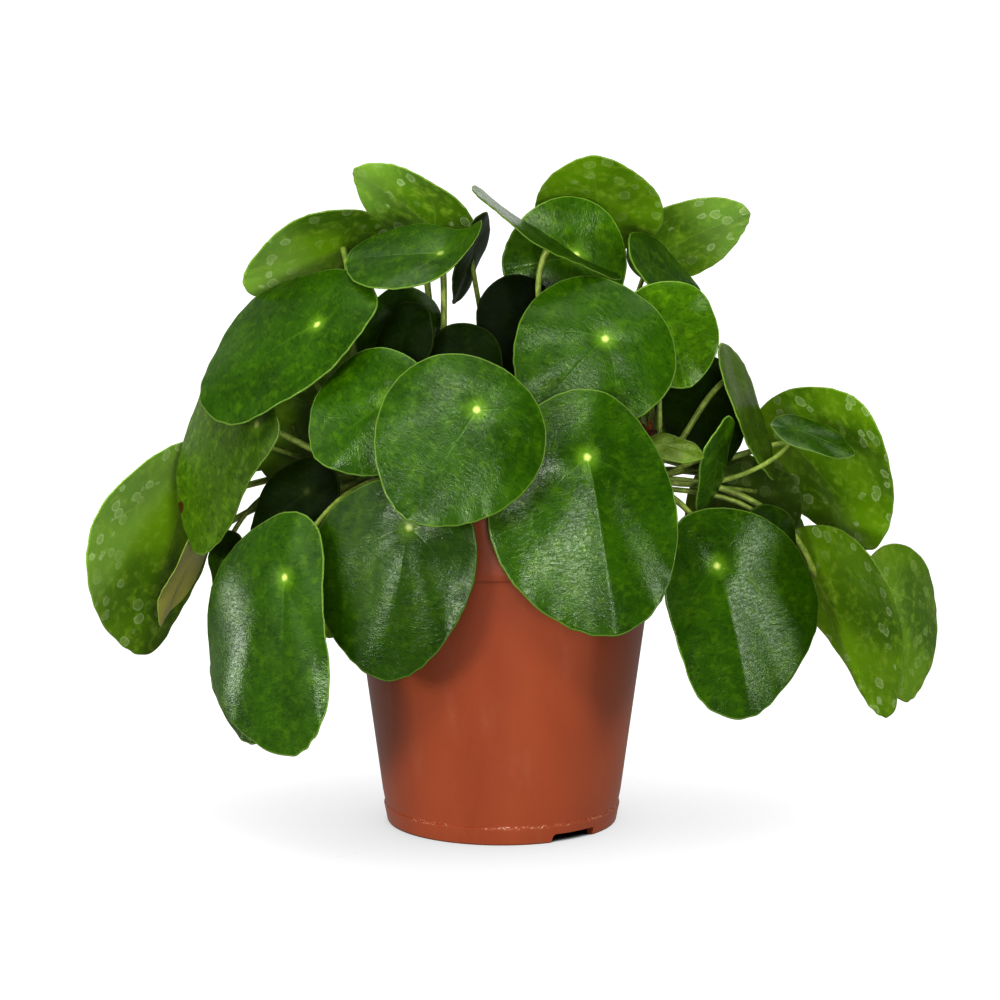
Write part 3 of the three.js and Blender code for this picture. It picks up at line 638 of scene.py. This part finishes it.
def under_face(n):
    colour = n.mix(n.broad, GREEN["under"], GREEN["under_light"])
    colour = n.tinted(colour, GREEN["under_patch"], n.patch, 0.65)
    colour = n.tinted(colour, GREEN["under_vein"], n.vein, 0.45)
    # Painted light: a pale tint where fade paints the leaf lighter
    return n.tinted(colour, GREEN["painted_light_tint"], n.step(n.value("painted_light_tint"), 0.05, 0.2), 0.5)


def dried_drops(n):
    """Pale rings that dried drops left, weaker on the upper face."""
    distance, tone, *_ = n.cells(n.warped(n.at, 260, 0.0022), 165)
    reach = n.plus(distance, n.times(n.minus(n.grain, 0.5), 0.12))
    ring = n.times(n.step(reach, 0.24, 0.33), n.step(reach, 0.43, 0.35))
    inside = n.step(reach, 0.42, 0.3)
    chosen = n.step(n.parts("Color", tone)[0], 0.25, 0.7)
    dried = n.math("MAXIMUM", n.times(ring, 0.85), n.times(inside, 0.38))
    wanted = n.times(n.value("spots"), n.step(n.rim, 26, 10))
    dried = n.times(n.times(dried, chosen), wanted)
    return n.times(dried, n.spread(n.side, 0, 1, 1, 0.5))


def relief(n):
    ridge = n.math("ABSOLUTE", n.minus(n.wrinkle, 0.5))
    height = n.plus(n.times(n.grain, 0.5), n.times(ridge, 2.2))
    return n.bump(n.minus(height, n.times(n.vein, 0.5)), 0.5, 0.00018)


def leaf_roughness(n, dried):
    """Rougher in the shade, on dried drops and on the underside."""
    rough = n.spread(n.noise(n.at, 60, 2), 0.3, 0.7, 0.16, 0.22)
    rough = n.plus(rough, n.spread(n.tone_and_painted_shading, 0.3, 0.8, 0.3, 0), clamp=True)
    rough = n.plus(rough, n.times(dried, 0.3))
    return n.plus(rough, n.times(n.minus(1, n.side), 0.16), clamp=True)


def leaf_material(name, specular):
    n = leaf_nodes(name)
    colour = n.mix(n.side, under_face(n), upper_face(n))
    colour = n.tinted(colour, GREEN["dry"], n.value("tan"), 0.85)
    dried = dried_drops(n)
    colour = n.tinted(colour, GREEN["drop"], dried, 0.72)
    # A pale line along the margin, partly the leaf's own edge and partly a painted highlight where the rim
    # catches light
    colour = n.tinted(colour, GREEN["margin"], n.step(n.rim, 0.5, 0.12), 0.6)
    scar = n.step(n.plus(n.value("scar"), n.times(n.grain, 1.2)), 3.6, 2.6)
    colour = n.mix(scar, colour, GREEN["scar"])
    # Painted shade and painted light: the whole leaf darkened or lightened by tone_and_painted_shading,
    # partly its own tone
    colour = n.mix(1, colour, n.alike("Color", n.tone_and_painted_shading), "MULTIPLY")
    return n.finish(colour, leaf_roughness(n, dried), relief(n), specular)


def stalk_material():
    n = material("leaf_stalk")
    place = n.place()
    streak = n.noise(place, 260, 3, 0.6, 1)
    colour = n.mix(n.step(streak, 0.35, 0.65), GREEN["stalk"], GREEN["stalk_light"])
    colour = n.mix(n.step(n.value("along"), 0.72, 1), colour, GREEN["stalk_foot"])
    speck = n.step(n.noise(place, 900, 2), 0.62, 0.7)
    colour = n.tinted(colour, GREEN["stalk_speck"], speck, 0.35)
    normal = n.bump(n.noise(place, 700, 3, 0.6), 0.4, 0.0003)
    return n.finish(colour, n.spread(streak, 0.3, 0.7, 0.34, 0.48), normal, 0.5)


def bark_material():
    n = material("stem_bark")
    place = n.place()
    rings = n.noise(n.scaled(place, 0.35, 0.35, 1), 420, 3, 0.6, 0.5)
    coarse = n.noise(place, 150, 3, 0.6)
    colour = n.mix(n.step(coarse, 0.35, 0.65), BROWN["bark"], BROWN["bark_light"])
    colour = n.tinted(colour, BROWN["bark_ring"], n.step(rings, 0.52, 0.62), 0.6)
    normal = n.bump(n.plus(rings, n.times(coarse, 0.7)), 0.9, 0.0007)
    return n.finish(colour, n.spread(coarse, 0.3, 0.7, 0.7, 0.92), normal, 0.3)


def husk_material():
    n = material("dry_husk")
    streak = n.noise(n.scaled(n.place(), 1, 1, 0.25), 700, 3, 0.6)
    colour = n.mix(n.step(streak, 0.35, 0.65), BROWN["husk"], BROWN["husk_light"])
    return n.finish(colour, n.spread(streak, 0.3, 0.7, 0.55, 0.8), n.bump(streak, 0.7, 0.0004), 0.3)


def soil_material():
    n = material("soil_crumbs")
    place = n.place()
    distance, tone, *_ = n.cells(place, 420)
    shade, light, _ = n.parts("Color", tone)
    fine, wide = n.noise(place, 800, 4, 0.65), n.noise(place, 60, 3, 0.5)
    colour = n.mix(n.step(shade, 0.1, 0.9), BROWN["soil"], BROWN["soil_light"])
    colour = n.tinted(colour, BROWN["soil_bit"], n.step(light, 0.9, 0.94), 0.7)
    colour = n.tinted(colour, BROWN["soil_damp"], n.step(wide, 0.45, 0.7), 0.4)
    normal = n.bump(n.minus(n.times(fine, 0.8), distance), 1, 0.0012)
    return n.finish(colour, n.spread(fine, 0.3, 0.7, 0.85, 1), normal, 0.2)


def lime_line(n, place):
    """Lime along the mould line near the foot, with gaps in it."""
    z = n.parts("XYZ", place)[2]
    band = n.times(n.step(z, 0.0058, 0.0067), n.step(z, 0.0078, 0.007))
    band = n.times(band, n.step(n.noise(place, 70, 1), 0.44, 0.56))
    return n.times(n.step(n.noise(place, 1300, 2, 0.6), 0.55, 0.62), band)


def pot_material():
    n = material("pot_plastic")
    place = n.place()
    cloud = n.noise(n.scaled(place, 1, 1, 0.5), 22, 3, 0.55, 0.4)
    fine = n.noise(place, 900, 2, 0.5)
    dust = n.noise(n.scaled(place, 1, 1, 0.3), 90, 4, 0.65)
    dusty, lime = n.times(n.step(dust, 0.52, 0.78), 0.16), lime_line(n, place)
    colour = n.mix(n.step(cloud, 0.3, 0.7), BROWN["pot"], BROWN["pot_light"])
    colour = n.mix(n.spread(fine, 0.35, 0.65, 0, 0.1), colour, BROWN["pot_grain"])
    colour = n.mix(dusty, colour, BROWN["dust"])
    colour = n.tinted(colour, BROWN["lime"], lime, 0.62)
    specks = n.step(n.cells(place, 150)["Distance"], 0.045, 0.02)
    colour = n.tinted(colour, BROWN["speck"], specks, 0.6)
    normal = n.bump(n.plus(n.times(fine, 0.5), n.times(dust, 0.4)), 0.18, 0.0003)
    rough = n.plus(n.spread(cloud, 0.3, 0.7, 0.3, 0.38), n.times(dusty, 0.8))
    return n.finish(colour, n.plus(rough, n.times(lime, 0.3), clamp=True), normal, 0.7)


BLADE_LOOK, DIM_LOOK = leaf_material("leaf_blade", 0.28), leaf_material("leaf_blade_in_shade", 0.07)
STALK_LOOK = stalk_material()
BARK_LOOK, HUSK_LOOK = bark_material(), husk_material()
SOIL_LOOK, POT_LOOK = soil_material(), pot_material()


# Pieces of leaves and stems

def dress(thing, node):
    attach(thing, "root")
    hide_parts(node)


SOCKETS = sockets()
for index, leaf in enumerate(LEAVES):
    name = leaf[0]
    blade_look = DIM_LOOK if name.startswith("shade") else BLADE_LOOK
    piece = leaf_piece(leaf, SOCKETS[name], [blade_look, STALK_LOOK], index + 1)
    dress(piece, "leaf_" + name)


def husk(root, out, up, length, width):
    """A dry papery scale, bent, with a blunt point."""
    side, half_thick = unit(np.cross(out, up)), 0.12
    points, faces = [], []
    rows, cols = 6, 5
    for layer in (half_thick, -half_thick):
        for j in range(rows):
            t = j / (rows - 1)
            w = width * (1 - t ** 1.8) * 0.5 + 0.15
            mid = root + up * length * t * 0.8 + out * length * (0.15 + 0.6 * t * t)
            for k in range(cols):
                s = k / (cols - 1) * 2 - 1
                points.append(mid + side * s * w - out * 0.5 * w * s * s + out * layer)
    n = rows * cols
    for j in range(rows - 1):
        for k in range(cols - 1):
            a = j * cols + k
            faces.append((a, a + 1, a + cols + 1, a + cols))
            faces.append((n + a, n + a + cols, n + a + cols + 1, n + a + 1))
    ring = [j * cols for j in range(rows)] + [(rows - 1) * cols + k for k in range(1, cols)]
    ring += [j * cols + cols - 1 for j in range(rows - 2, -1, -1)] + list(range(cols - 2, 0, -1))
    for a, b in zip(ring, ring[1:] + ring[:1]):
        faces.append((a, b, b + n, a + n))
    return points, faces


def stem_line(key):
    """The stem's middle line and radii, from its foot in the soil to its rounded tip."""
    (x, y), _, radius = STEMS[key]
    t = np.linspace(0, 1, STEM_STEPS)
    rings_below = 5
    below = np.array([[x, y, SOIL_LEVEL - HOLE_DEPTH + 1 + i * 4.5] for i in range(rings_below)])
    line = np.array([stem_point(key, share) for share in t])
    line = np.concatenate([below, line, [line[-1] + (0, 0, 1.4)], [line[-1] + (0, 0, 2.3)]])
    thick = radius * (1 - STEM_TAPER * t) * (0.93 + 0.06 * np.sin(t * 9.5 * TURN))
    radii = [np.full(rings_below, radius * 0.9), thick, [radius * 0.5, radius * 0.2]]
    return line, np.concatenate(radii)


def stem_piece(key, seed):
    """A stem with two husks beside the foot of each of its stalks."""
    def wobble(i, turn):
        return 1 + 0.035 * np.sin(3 * turn + i * 0.35 + seed) + 0.025 * np.sin(7 * turn - i * 0.6)

    line, radii = stem_line(key)
    points, faces = tube(line, radii, STEM_SIDES, (0, 0, 1), wobble=wobble)
    bark_faces = len(faces)
    rng = np.random.default_rng(seed)
    up = np.array([0, 0, 1.0])
    for leaf in LEAVES:
        if leaf[1] != key:
            continue
        centre, away, radius = SOCKETS[leaf[0]]
        for turn in (-38, 34):
            out = turned_about_z(away, turn)
            length, width = rng.uniform(4.0, 6.5), rng.uniform(2.6, 3.8)
            root = centre + out * (radius - 0.4) + up * rng.uniform(0.2, 1.4)
            more, extra = husk(root, out, up, length, width)
            start = len(points)
            points += more
            faces += [tuple(start + i for i in f) for f in extra]
    groups = [0] * bark_faces + [1] * (len(faces) - bark_faces)
    return mesh_object("woody_" + key, points, faces, [BARK_LOOK, HUSK_LOOK], groups)


FIRST_STEM_SEED = 50
for index, key in enumerate(STEMS):
    dress(stem_piece(key, FIRST_STEM_SEED + index), "stem_" + key)


# Pot

def outer_radius(z):
    top = RIM_RADIUS - COLLAR_STEP - 0.9
    return BASE_RADIUS + (top - BASE_RADIUS) * z / SHOULDER


def lathe(profile, sides):
    """A solid turned round the axis. A point of the profile that lies on the axis is one point."""
    points, faces, rows = [], [], []
    for r, z in profile:
        start = len(points)
        if r == 0:
            points.append((0, 0, z))
            rows.append([start] * sides)
        else:
            points += [(x, y, z) for x, y in circle(r, sides)]
            rows.append(range(start, start + sides))
    for a, b in zip(rows, rows[1:]):
        for i in range(sides):
            k = (i + 1) % sides
            faces.append(tuple(dict.fromkeys((a[i], a[k], b[k], b[i]))))
    return points, faces


def arc(cx, cz, r, start, end, steps):
    turns = [math.radians(start + (end - start) * i / steps) for i in range(steps + 1)]
    return [(cx + r * math.cos(a), cz + r * math.sin(a)) for a in turns]


def pot_profile():
    """The pot's section as (radius, height): from under the floor round the foot, up the wall and
    the collar, over the rim and down inside to the floor."""
    base, foot, waist = BASE_RADIUS, outer_radius(FOOT_BAND), outer_radius(SHOULDER)
    rim, rim_inside, top = RIM_RADIUS, RIM_RADIUS - WALL, POT_HEIGHT
    line = [(0, FLOOR_LEVEL), (12, FLOOR_LEVEL), (base - 4.0, FLOOR_LEVEL), (base - 3.5, FLOOR_LEVEL - 0.5),
            (base - 3.2, 0.4), (base - 2.9, 0), (base - 0.9, 0)]
    line += arc(base - 0.75, 0.8, 0.8, -80, -5, 4)
    line += [(base + 0.45, 3.0), (foot + 0.18, FOOT_BAND - 0.9), (foot + 0.2, FOOT_BAND - 0.45),
             (foot + 0.02, FOOT_BAND - 0.2), (foot - 0.28, FOOT_BAND), (foot - 0.22, FOOT_BAND + 0.4)]
    line += [(outer_radius(z), z) for z in np.linspace(12, SHOULDER - 2, 14)]
    line += [(waist - 0.05, SHOULDER - 0.5), (waist + 0.05, SHOULDER - 0.1), (rim - 1.35, SHOULDER + 0.05),
             (rim - 0.95, SHOULDER + 0.3), (rim - 0.62, SHOULDER + 0.9)]
    line += [(rim - 0.5 + 0.4 * (z - SHOULDER) / COLLAR_HEIGHT, z)
             for z in np.linspace(SHOULDER + 3, top - 3, 6)]
    line += [(rim - 0.06, top - 1.6)] + arc(rim - 0.75, top - 0.75, 0.74, 0, 180, 8)
    line += [(rim_inside - 0.3, top - 1.6), (rim_inside - 1.0, top - 8), (rim_inside - 1.2, SHOULDER + 2),
             (waist - WALL, SHOULDER - 1)]
    line += [(outer_radius(z) - WALL - 0.3, z) for z in np.linspace(SHOULDER - 8, FLOOR_TOP + 2, 8)]
    return line + [(outer_radius(FLOOR_TOP) - WALL - 1.0, FLOOR_TOP), (20, FLOOR_TOP), (0, FLOOR_TOP)]


def cutter(points):
    """A closed block between two outlines of the same number of points, one listed after the other."""
    n = len(points) // 2
    faces = [tuple(range(n))[::-1], tuple(range(n, 2 * n))]
    faces += [(i, (i + 1) % n, n + (i + 1) % n, n + i) for i in range(n)]
    return mesh_object("cutter", points, faces, [])


def notch_cutter(turn):
    """A block through the foot: its left end slopes and its upper corners are cut."""
    half, slope, high = NOTCH_WIDTH / 2, 1.3, NOTCH_HEIGHT
    section = [(-half - slope, -1.0), (half + 0.2, -1.0), (half + 0.2, high - 0.5), (half - 0.3, high),
               (-half + 0.6, high), (-half - 0.2, high - 0.7)]
    c, s = math.cos(turn), math.sin(turn)
    return cutter([(r * c - w * s, r * s + w * c, z)
                   for r in (BASE_RADIUS - 7, BASE_RADIUS + 5) for w, z in section])


def drain_cutter(turn):
    middle = (DRAIN_CIRCLE * math.cos(turn), DRAIN_CIRCLE * math.sin(turn))
    return cutter([(x, y, z) for z in (2, 10) for x, y in circle(DRAIN_RADIUS, 28, middle)])


def pot_piece():
    points, faces = lathe(pot_profile(), POT_SIDES)
    body = mesh_object("nursery_pot", points, faces, [POT_LOOK])
    cutters = [notch_cutter(math.radians(-90 + NOTCH_TURN + i * 360 / NOTCHES)) for i in range(NOTCHES)]
    cutters += [drain_cutter((i + 0.5) / DRAIN_HOLES * TURN) for i in range(DRAIN_HOLES)]
    for c in cutters:
        step = body.modifiers.new("cut", "BOOLEAN")
        step.operation, step.solver, step.object = "DIFFERENCE", "EXACT", c
    cut = bpy.data.meshes.new_from_object(body.evaluated_get(bpy.context.evaluated_depsgraph_get()))
    body.modifiers.clear()
    body.data = cut
    for c in cutters:
        bpy.data.objects.remove(c)
    for p in cut.polygons:
        p.use_smooth = True
    edges = body.modifiers.new("edges", "EDGE_SPLIT")
    edges.split_angle = math.radians(32)
    return body


dress(pot_piece(), "pot")


# Soil

SOIL_RADIUS = outer_radius(SHOULDER) - WALL - SOIL_GAP


def soil_height(x, y):
    return (SOIL_LEVEL + 1.3 * np.sin(x * 0.21 + 1) * np.cos(y * 0.17)
            + 0.8 * np.sin(x * 0.47 - y * 0.39))


def soil_body(rng):
    """The mix in the pot, with an uneven top that is a little lower along the wall."""
    bottom = FLOOR_TOP + SOIL_GAP
    walls = [(outer_radius(FLOOR_TOP) - WALL - 1.4 - SOIL_GAP, bottom), (SOIL_RADIUS - 0.3, SHOULDER - 1),
             (SOIL_RADIUS - 0.2, SOIL_LEVEL - 3.0)]
    points = [(0, 0, bottom)]
    for r, z in walls:
        points += [(x, y, z) for x, y in circle(r, SOIL_SIDES)]
    for j in range(SOIL_RINGS):
        r, sunk = (SOIL_RADIUS - 0.3) * (1 - j / SOIL_RINGS), 0.8 if j == 0 else 0
        for x, y in circle(r, SOIL_SIDES):
            z = float(soil_height(x, y)) + rng.normal(0, 0.45) * min(1, r / 8) - sunk
            points.append((x, y, z))
    points.append((0, 0, float(soil_height(0, 0))))
    rows = len(walls) + SOIL_RINGS
    last, top = 1 + (rows - 1) * SOIL_SIDES, len(points) - 1
    faces = [(0, 1 + (i + 1) % SOIL_SIDES, 1 + i) for i in range(SOIL_SIDES)]
    faces += bands(1, rows, SOIL_SIDES)
    faces += [(last + i, last + (i + 1) % SOIL_SIDES, top) for i in range(SOIL_SIDES)]
    return points, faces


def add_crumbs(points, faces, rng):
    """Loose crumbs and bits of bark on top, clear of the stems."""
    corners = [(1, 0, 0), (-1, 0, 0), (0, 1, 0), (0, -1, 0), (0, 0, 1), (0, 0, -1)]
    sides = ((0, 2, 4), (2, 1, 4), (1, 3, 4), (3, 0, 4), (2, 0, 5), (1, 2, 5), (3, 1, 5), (0, 3, 5))
    clear_of_stem = 7
    for _ in range(CRUMBS):
        r, a = (SOIL_RADIUS - 4) * math.sqrt(rng.uniform(0.0, 1)), rng.uniform(0, TURN)
        x, y = r * math.cos(a), r * math.sin(a)
        if min(math.hypot(x - foot[0], y - foot[1]) for foot, _, _ in STEMS.values()) < clear_of_stem:
            continue
        size = rng.uniform(0.7, 2.1)
        z = float(soil_height(x, y)) + size * 0.2
        turn, long = rng.uniform(0, TURN), rng.uniform(0.7, 1.7)
        start = len(points)
        for px, py, pz in corners:
            q = np.array([px * long, py, pz * 0.6]) * size * rng.uniform(0.7, 1.1)
            q = turned_about_z(q, math.degrees(turn))
            points.append((x + q[0], y + q[1], z + q[2]))
        faces += [tuple(start + i for i in f) for f in sides]


def soil_piece():
    rng = np.random.default_rng(7)
    points, faces = soil_body(rng)
    add_crumbs(points, faces, rng)
    return mesh_object("potting_mix", points, faces, [SOIL_LOOK], smooth=False)


dress(soil_piece(), "soil")


# Stage and light

def by_ray(n, others, camera):
    """One shader for rays from the camera and another for all other rays."""
    ray = n.node("LightPath").outputs["Is Camera Ray"]
    return n.node("MixShader", ray, others.outputs[0], camera.outputs[0]).outputs[0]


def floor_card():
    """A white floor with a soft shadow near the pot."""
    half = 30
    corners = [(-half, -half, 0), (half, -half, 0), (half, half, 0), (-half, half, 0)]
    data = bpy.data.meshes.new("floor")
    data.from_pydata(corners, [], [(0, 1, 2, 3)])
    floor = bpy.data.objects.new("floor", data)
    bpy.context.collection.objects.link(floor)
    n = material("floor_card")
    near = n.node("AmbientOcclusion", samples=24)
    near.inputs["Distance"].default_value = 0.11
    free = near.outputs["AO"]
    under = n.step(free, 0.08, 0.34)
    tone = n.spread(n.math("POWER", free, 1.4), 0.0, 1.0, 0.72, 1.12)
    lit, dim = n.node("Emission"), n.node("Emission")
    n.put(lit.inputs["Strength"], n.times(tone, under))
    n.put(dim.inputs["Strength"], n.times(under, 0.5))
    n.put(n.tree.nodes["Material Output"].inputs["Surface"], by_ray(n, dim, lit))
    data.materials.append(n.owner)
    return floor


def studio_world():
    """A white backdrop low behind, a soft light straight above, little else."""
    n = Nodes(bpy.data.worlds.new("studio"))
    n.tree.nodes.clear()
    x, y, z = n.parts("XYZ", n.node("TexCoord").outputs["Generated"])
    backdrop = n.times(n.ramp(y, 0.25, 0.65, 0.0, 0.25), n.ramp(z, 0.35, 0.75, 1.0, 0.0))
    above = n.ramp(z, 0.84, 0.97, 0.42, 4.4)
    left_to_right = n.ramp(x, 0.1, 0.9, 1.0, 0.4)
    front_to_back = n.ramp(y, -0.7, 0.2, 0.68, 1.1)
    room = n.times(n.plus(backdrop, above), n.times(left_to_right, front_to_back))
    seen = n.node("Background", (1.0, 1.0, 1.0, 1.0), 1.0)
    cast = n.node("Background", (0.8, 0.8, 0.8, 1.0), room)
    n.node("OutputWorld", by_ray(n, cast, seen))
    return n.owner


def add_lamp(name, place, target, size, power, spread=180):
    light = bpy.data.lights.new(name, "AREA")
    light.shape, light.size, light.size_y = "RECTANGLE", size[0], size[1]
    light.energy, light.spread = power, math.radians(spread)
    thing = bpy.data.objects.new(name, light)
    bpy.context.collection.objects.link(thing)
    thing.location = place
    direction = Vector(target) - Vector(place)
    thing.rotation_euler = direction.to_track_quat("-Z", "Y").to_euler()
    thing.visible_camera = False


# name, place, target and size in metres, power in watts, and the spread in degrees of a narrow one
LAMPS = [
    ("front", (0.18, -1.6, 0.28), (0, 0, 0.14), (0.24, 0.62), 13.5),
    ("front_high", (-0.08, -1.2, 1.22), (0, -0.05, 0.16), (0.95, 0.24), 11.5),
    ("front_low", (-0.64, -0.87, 0.33), (-0.04, -0.06, 0.11), (0.26, 0.2), 5.5),
    ("left", (-1.3, -0.6, 0.5), (0, 0, 0.1), (0.8, 0.8), 5),
    ("behind", (0.3, 1.5, 0.8), (0, 0, 0.1), (0.9, 0.9), 3),
    ("right", (1.47, -0.31, 0.3), (0, 0, 0.12), (0.35, 0.5), 8),
    ("left_low", (-0.42, 0.095, 0.045), (-0.1, -0.05, 0.065), (0.1, 0.07), 0.005, 24),
]

scene = bpy.context.scene
floor = floor_card()
for row in LAMPS:
    add_lamp(*row)
scene.world = studio_world()


# Camera: its place in millimetres from the pot's axis, and its tilt below level in degrees

CAMERA_PLACE, CAMERA_TILT = (-0.69, -1500, 380), 9.7
SENSOR_WIDTH, LENS, FAR_LIMIT = 36.0, 144.36, 50

camera_data = bpy.data.cameras.new("camera")
camera = bpy.data.objects.new("camera", camera_data)
bpy.context.collection.objects.link(camera)
x, y, z = CAMERA_PLACE
camera.location = ((x + AXIS_X) * MM, (y + AXIS_Y) * MM, z * MM)
camera.rotation_euler = (math.radians(90 - CAMERA_TILT), 0, 0)
camera_data.sensor_width, camera_data.lens, camera_data.clip_end = SENSOR_WIDTH, LENS, FAR_LIMIT
scene.camera = camera
scene.view_settings.view_transform = "Standard"
scene.view_settings.gamma = 0.70
